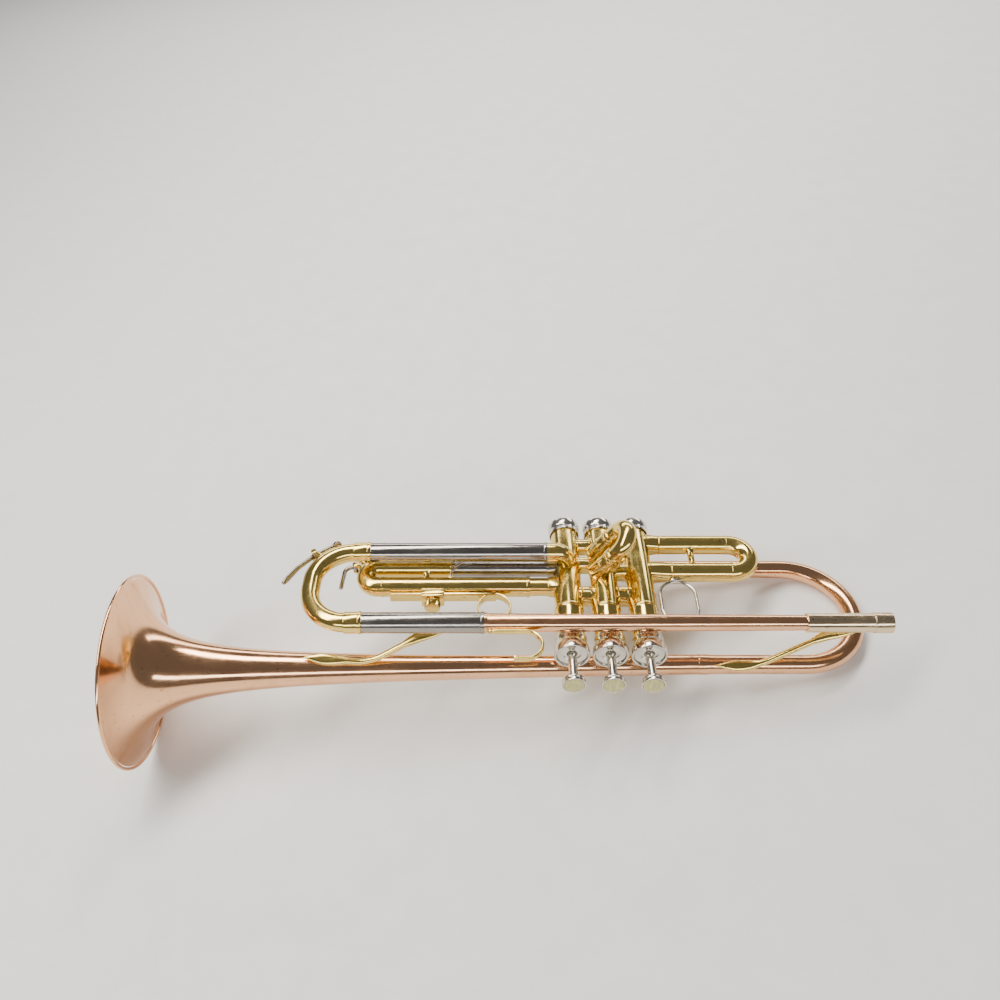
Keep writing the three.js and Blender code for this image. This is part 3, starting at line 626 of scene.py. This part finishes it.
button_profile = soften(
    [(0, BUTTON_BACK - 2.5), (2.1, BUTTON_BACK - 2.5), (2.1, BUTTON_BACK), (5.6, BUTTON_BACK),
     (6.9, BUTTON_BACK - 0.8), (7.3, BUTTON_BACK - 1.6), (7.3, BUTTON_BACK - 2.4),
     (6.95, BUTTON_BACK - 2.7), (6.95, BUTTON_BACK - 3.0), (BUTTON_R, BUTTON_BACK - 3.4),
     (BUTTON_R, BUTTON_FRONT + 0.2), (7.15, BUTTON_FRONT), (6.55, BUTTON_FRONT + 0.1),
     (6.5, -33.9), (0, -33.9)], 0.22,
)
pearl_profile = soften(
    [(0, -34.1), (6.4, -34.1), (6.4, -35.2), (5.6, -35.55), (3.4, -35.8), (0, -35.88)], 0.5
)

for valve, x in VALVE_X.items():
    at = Vector((x, 0, 0))
    body = f"valve_{valve}"
    Shape().turned(casing_profile, at, Y, 96).done(
        f"casing_{valve}", "frame", [f"valve_casing_{valve}"], yellow, "yellow_brass"
    )
    Shape().turned(top_cap_profile, at, Y, 96, loop=True).done(
        f"top_cap_skin_{valve}", "frame", [f"top_cap_{valve}"], bright, "bright_nickel"
    )
    Shape().turned(bottom_cap_profile, at, Y, 96, loop=True).done(
        f"bottom_cap_skin_{valve}", "frame", [f"bottom_cap_{valve}"], bright, "bright_nickel"
    )
    Shape().turned(stem_profile, at, Y, 48).done(
        f"stem_{valve}", body, [f"valve_stem_{valve}"], bright, "bright_nickel"
    )
    Shape().turned(button_profile, at, Y, 72).done(
        f"button_{valve}", body, [f"finger_button_{valve}"], bright, "bright_nickel"
    )
    Shape().turned(pearl_profile, at, Y, 64).done(
        f"pearl_{valve}", body, [f"button_pearl_{valve}"], pearl, "pearl"
    )
    for node, material in ((f"valve_piston_{valve}", nickel_painted_reflection), (f"valve_spring_{valve}", steel)):
        mesh = frame["nodes"][node].data
        mesh.materials.clear()
        mesh.materials.append(material)


def knuckle(shape, start, direction, radius, flare=1.3, length=3.2):
    """The fillet round a tube or rod where it is soldered to something else."""
    profile = [(radius - 0.3, 0), (radius + flare, 0), (radius + flare * 0.45, length * 0.3),
               (radius + flare * 0.12, length * 0.7), (radius + 0.02, length), (radius - 0.3, length)]
    return shape.turned(soften(profile, 0.3, closed=True), start, direction, 56, loop=True)


def strut(shape, x, legs, radius):
    """A rod between a slide's two legs, with a fillet at each end."""
    shape.bar((x, legs[0] + 4, 0), (x, legs[1] - 4, 0), radius)
    for y, way in zip(legs, (Y, -Y)):
        knuckle(shape, Vector((x, y, 0)) + way * 5.6, way, radius, 2.0, 3.0)


# Each link joins two valves at a height, with a radius.
links = {
    "crossover_3_2": (3, 2, 36.0, 6.2),
    "crossover_2_1": (2, 1, 36.0, 6.2),
    "bridge_3_2_upper": (3, 2, 64.0, 5.2),
    "bridge_3_2_lower": (3, 2, 81.0, 5.2),
    "bridge_2_1": (2, 1, 57.0, 5.2),
}
for node, (left, right, y, radius) in links.items():
    start = Vector((VALVE_X[left], y, 0))
    end = Vector((VALVE_X[right], y, 0))
    shape = Shape().bar(start + X * 6, end - X * 6, radius)
    for origin, way in ((start, X), (end, -X)):
        knuckle(shape, origin + way * 8.4, way, radius, 1.1, 2.6)
    shape.outside(start.x).outside(end.x)
    shape.done(node + "_tube", "frame", [node], yellow, "yellow_brass")

# ---- Fixed tubes of the valve slides ------------------------------------------------------
# Each stands on a valve at a height, steps down at its shoulder, and has an end and a metal.
fixed_tubes = {
    "slide_3_tube_near": (3, THIRD_Y[0], -X, 13.0, 88.0, yellow, "yellow_brass"),
    "slide_3_tube_far": (3, THIRD_Y[1], -X, 13.0, 112.0, nickel_painted_reflection, "nickel_silver"),
    "slide_1_tube_near": (1, FIRST_Y[0], X, 21.8, 56.0, yellow, "yellow_brass"),
    "slide_1_tube_far": (1, FIRST_Y[1], X, 16.1, 56.0, yellow, "yellow_brass"),
}
for node, (valve, y, way, shoulder, end, material, slot) in fixed_tubes.items():
    axis = Vector((VALVE_X[valve], y, 0))
    profile = soften(
        [(0, 5), (OUTER_TUBE, 5), (OUTER_TUBE, shoulder), (INNER_TUBE, shoulder), (INNER_TUBE, end),
         (5.6, end), (5.6, end - 12), (0, end - 12)], 0.3,
    )
    shape = Shape().turned(profile, axis, way, 64)
    knuckle(shape, axis + way * 7.4, way, OUTER_TUBE, 1.0, 3.4)
    shape.outside(VALVE_X[valve])
    shape.done(node + "_skin", "frame", [node], material, slot)

second_way = Vector((math.sin(SECOND_LEAN), 0, math.cos(SECOND_LEAN)))


def second_point(y, distance):
    return Vector((SECOND_OFFSET, y, 0)) + second_way * distance


for node, y in (("slide_2_socket_near", SECOND_Y[0]), ("slide_2_socket_far", SECOND_Y[1])):
    shape = Shape().bar(second_point(y, 7), second_point(y, SECOND_SOCKET_END), OUTER_TUBE, 1.6)
    shape.band(second_point(y, SECOND_SOCKET_END - 1.8), second_point(y, SECOND_SOCKET_END), FERRULE, 6.2)
    shape.band(second_point(y, 17.4), second_point(y, 18.8), FERRULE - 0.1, 6.2)
    shape.outside(VALVE_X[2])
    shape.done(node + "_skin", "frame", [node], yellow, "yellow_brass")

# ---- Third valve slide ----------------------------------------------------------------------
near_y, far_y = THIRD_Y
third_bend = (far_y - near_y) / 2
third_centre = Vector((THIRD_REACH + third_bend, (near_y + far_y) / 2, 0))
third_outer = third_bend + OUTER_TUBE
third_line = route(
    [(THIRD_NEAR_END, near_y, 0), (THIRD_REACH, near_y, 0),
     (THIRD_REACH, far_y, 0), (THIRD_FAR_END, far_y, 0)], third_bend, 28,
)
slide = Shape().swept(third_line, OUTER_TUBE, sides=48)
for start, end, y in (
    (THIRD_NEAR_END - 2.4, THIRD_NEAR_END, near_y), (THIRD_FAR_END - 2.0, THIRD_FAR_END, far_y),
    (THIRD_SEAM_X, THIRD_SEAM_X + 1.2, near_y), (THIRD_SEAM_X, THIRD_SEAM_X + 1.2, far_y),
):
    slide.band((start, y, 0), (end, y, 0), FERRULE, OUTER_TUBE - 0.3)
strut(slide, THIRD_STRUT_X, THIRD_Y, 2.0)
# The holder's two cheeks, floor and lid: low and high y, low and high z, edge rounding.
for y0, y1, z0, z1, soft in (
    (34.4, 38.0, -HOLDER_HALF, -4.2, 0.5), (34.4, 38.0, 4.2, HOLDER_HALF, 0.5),
    (32.0, 34.5, -HOLDER_HALF, HOLDER_HALF, 0.8), (37.4, 38.6, -HOLDER_HALF, HOLDER_HALF, 0.5),
):
    slide.slab((HOLDER_X[0], y0, z0), (HOLDER_X[1], y1, z1), soft)
slide.turned(soften([(0, 0), (3.6, 0), (3.4, 1.6), (0, 1.6)], 0.4), (SCREW_X, 32.2, 0), -Y, 40)
key_seat(slide, third_centre, third_outer, THIRD_KEY_ANGLE, THIRD_PAD_ANGLE, THIRD_KEY_LUG)
slide.done("third_valve_slide", "third_slide", ["slide_3"], yellow, "yellow_brass")

water_key(
    "third_key", "water_key_slide_3", "third_water_key", third_centre, third_outer, THIRD_KEY_ANGLE,
    THIRD_PAD_ANGLE, Vector((-174.3, 62.3, 0)), Vector((-175.3, 43, 0)), 1.9, THIRD_KEY_LUG,
)

ring_y = RAIL_TOP - RING_R
ring_profile = soften(
    [(RING_R - 1.25, -2.9), (RING_R, -2.9), (RING_R, 2.9), (RING_R - 1.25, 2.9)], 0.5, closed=True
)
Shape().turned(ring_profile, (RING_X, ring_y, 0), Z, 96, loop=True).slab(
    (RAIL_END, RAIL_TOP - RAIL_THICKNESS, -3.7), (RING_X + 1, RAIL_TOP - 0.06, 3.7), 0.45
).done("ring_and_rail", "ring", ["finger_ring"], yellow, "yellow_brass")

screw_profile = soften(
    [(0, 25.4), (4.3, 25.4), (5.2, 26.1), (5.2, 30.5), (4.6, 31.2), (3.0, 31.7), (1.6, 31.7),
     (1.6, 34.6), (0, 34.6)], 0.3,
)
Shape().turned(screw_profile, (SCREW_X, 0, 0), Y, 72, knurl=(5.05, 0.35)).done(
    "thumbscrew_knurled", "thumbscrew", ["ring_thumbscrew"], yellow, "yellow_brass", 25
)
stop_line = route([(-102.5, 46.5, 8), (-100, 55, 8.6), (-94.5, 59.5, 8.6), (-88, 61.5, 8.2)], 2.5, 10)
Shape().swept(spread(stop_line, 2), 0.9, sides=20).done(
    "stop_wire", "third_slide", ["slide_3_stop_wire"], bright, "bright_nickel"
)

# ---- Second valve slide ---------------------------------------------------------------------
second_bend = (SECOND_Y[1] - SECOND_Y[0]) / 2
second_line = route(
    [second_point(SECOND_Y[0], SECOND_LEG_START), second_point(SECOND_Y[0], SECOND_REACH - INNER_TUBE),
     second_point(SECOND_Y[1], SECOND_REACH - INNER_TUBE), second_point(SECOND_Y[1], SECOND_LEG_START)],
    second_bend, 28,
)
slide = Shape().swept(second_line, INNER_TUBE, up=X, sides=48)
for y in SECOND_Y:
    start = second_point(y, SECOND_SOCKET_END + 0.3)
    slide.band(start, second_point(y, SECOND_SOCKET_END + 2.7), FERRULE, 5.8)
slide.done("second_valve_slide", "second_slide", ["slide_2"], yellow, "yellow_brass")

# ---- First valve slide ----------------------------------------------------------------------
near_y, far_y = FIRST_Y
first_line = route(
    [(FIRST_ENDS[0], near_y, 0), (FIRST_REACH, near_y, 0),
     (FIRST_REACH, far_y, 0), (FIRST_ENDS[1], far_y, 0)], (far_y - near_y) / 2, 28,
)
slide = Shape().swept(first_line, OUTER_TUBE, sides=48)
for start, y in (
    (FIRST_ENDS[0], near_y), (FIRST_ENDS[1], far_y), (FIRST_SEAM_X, near_y), (FIRST_SEAM_X, far_y)
):
    slide.band((start, y, 0), (start + 1.4, y, 0), OUTER_TUBE + 0.25, OUTER_TUBE - 0.3)
strut(slide, FIRST_STRUT_X, FIRST_Y, 2.2)
slide.done("first_valve_slide", "first_slide", ["slide_1"], yellow, "yellow_brass")

saddle_line = route(
    [(SADDLE_X + x, y, 0) for x, y in (
        (2 - SADDLE_HALF, 16.5), (-SADDLE_HALF, 24), (-SADDLE_HALF, SADDLE_TOP),
        (SADDLE_HALF, SADDLE_TOP), (SADDLE_HALF, 24), (SADDLE_HALF - 2, 16.5),
    )],
    [8, SADDLE_HALF - 0.1, SADDLE_HALF - 0.1, 8], 16,
)
Shape().swept(spread(saddle_line, 2), 1.2, sides=20).slab(
    (SADDLE_X - 3.5, SADDLE_TOP - 0.6, -2.2), (SADDLE_X + 3.5, near_y - OUTER_TUBE - 0.2, 2.2), 0.5
).done("thumb_saddle_wire", "first_slide", ["thumb_saddle"], bright, "bright_nickel")

# ---- Hook, braces and posts -------------------------------------------------------------------
hook_corners = [
    (-76, HOOK_NEAR_Y, LEAD_Z), (HOOK_TURN_X, HOOK_NEAR_Y, LEAD_Z),
    (HOOK_TURN_X, HOOK_FAR_Y, LEAD_Z), (HOOK_TIP_X, HOOK_FAR_Y, LEAD_Z),
]
hook_line = spread(route(hook_corners, 10.45, 20), 1.5)
hook_tip = soften([(0, -2.3), (1.1, -2.3), (1.1, 2.3), (0, 2.3)], 0.4)
hook_foot = soften([(0, -1.6), (1.5, -1.2), (1.5, 1.2), (0, 1.6)], 0.9)
Shape().swept(
    hook_line, lambda t: 2.1 * min(1.0, 0.45 + t * 7), lambda t: 1.2, up=Y, sides=28
).turned(hook_tip, (HOOK_TIP_X, HOOK_FAR_Y + 0.5, LEAD_Z), Z, 24).turned(
    hook_foot, (-75.2, HOOK_NEAR_Y, LEAD_Z), X, 24
).done(
    "little_finger_hook", "frame", ["finger_hook"], yellow, "yellow_brass"
)


def leaf(t, length):
    """Half width of a brace whose two ends are hammered out into pointed leaves."""
    near = min(t, 1 - t) * length
    swell = math.sin(math.pi * min(near / LEAF_LENGTH, 1)) ** 0.8
    return 0.35 + 1.7 * min(1, near / 12) + 1.5 * swell


for name, node, corners in (
    ("brace_front", "front_brace",
     [(-193, -8.6, -6.9), (-152, -11, -8.9), (-118, -1.6, 7), (-104, -0.4, 8.2)]),
    ("brace_rear", "rear_brace",
     [(68.6, -10, -13.6), (94, -9.8, -13.6), (138, -1.5, 8.6), (153, -1, 8.8)]),
):
    line = spread(route(corners, [34, 22], 24), 1.2)
    length = sum((b - a).length for a, b in zip(line, line[1:]))
    Shape().swept(
        line, lambda t, n=length: leaf(t, n), lambda t, n=length: min(1.8, 0.7 + min(t, 1 - t) * n * 0.04),
        up=Vector((0, -0.5, 0.87)), sides=32,
    ).done(name, "frame", [node], yellow, "yellow_brass")

for name, node, foot, head in (
    ("post_leadpipe", "leadpipe_post", (0, 3.4, 8.2), (0, 1.6, 12.5)),
    ("post_bell_front", "bell_post_front", (VALVE_X[3], 7.0, -7.6), (VALVE_X[3], -1.0, -15.5)),
    ("post_bell_rear", "bell_post_rear", (VALVE_X[1], 7.0, -7.6), (VALVE_X[1], -1.0, -15.5)),
):
    foot, head = Vector(foot), Vector(head)
    way = (head - foot).normalized()
    shape = Shape().bar(foot, head, POST_R)
    knuckle(shape, foot + way * 0.4, way, POST_R, 1.2, 2.0)
    knuckle(shape, head - way * 0.4, -way, POST_R, 1.4, 2.0)
    shape.done(name, "frame", [node], yellow, "yellow_brass")

# ---- Floor, light and camera ------------------------------------------------------------------
floor_mesh = bpy.data.meshes.new("floor")
floor_size = 2.4
floor_mesh.from_pydata(
    [(x * floor_size, y * floor_size, 0) for x, y in ((-1, -1), (1, -1), (1, 1), (-1, 1))],
    [], [(0, 1, 2, 3)],
)
floor_mesh.materials.append(soft_fill("pale_floor", (0.88, 0.87, 0.84), (0.85, 0.84, 0.81), 40, 0.7))
floor = bpy.data.objects.new("floor", floor_mesh)
bpy.context.scene.collection.objects.link(floor)

world = bpy.data.worlds.new("studio")
world.use_nodes = True
world.node_tree.nodes["Background"].inputs["Color"].default_value = (0.58, 0.58, 0.60, 1)
world.node_tree.nodes["Background"].inputs["Strength"].default_value = 0.27
bpy.context.scene.world = world


def softbox(name, place, aim, width, height, power, colour):
    data = bpy.data.lights.new(name, "AREA")
    data.shape = "RECTANGLE"
    data.size = width
    data.size_y = height
    data.energy = power
    data.color = colour
    lamp = bpy.data.objects.new(name, data)
    lamp.location = place
    lamp.rotation_euler = (Vector(aim) - Vector(place)).to_track_quat("-Z", "Y").to_euler()
    bpy.context.scene.collection.objects.link(lamp)


softbox("key_light", (-0.4, 0.3, 1.3), (0, 0, 0), 2.2, 0.35, 40, (1.0, 0.96, 0.90))
softbox("front_light", (0.2, -1.3, 0.75), (0, 0, 0), 2.2, 0.22, 13, (0.96, 0.98, 1.0))
softbox("rim_light", (0.2, 1.5, 0.6), (0, 0, 0.05), 2.2, 0.25, 12, (1.0, 0.97, 0.93))

# The photo's camera, as fitted to the trumpet's tubes.
camera_place = to_row @ Vector((-69.26, -372.14, 471.86))
camera_pitch = math.radians(43.26)
look = turn_to_row @ Vector((0, math.cos(camera_pitch), -math.sin(camera_pitch)))
above = turn_to_row @ Vector((0, math.sin(camera_pitch), math.cos(camera_pitch)))
across = look.cross(above)
camera_data = bpy.data.cameras.new("camera")
camera_data.sensor_width = 36.0
camera_data.lens = 33.79
camera_data.clip_start = 0.01
camera = bpy.data.objects.new("camera", camera_data)
facing = Matrix((across, above, -look)).transposed().to_4x4()
camera.matrix_world = Matrix.Translation(camera_place) @ facing
bpy.context.scene.collection.objects.link(camera)
bpy.context.scene.camera = camera
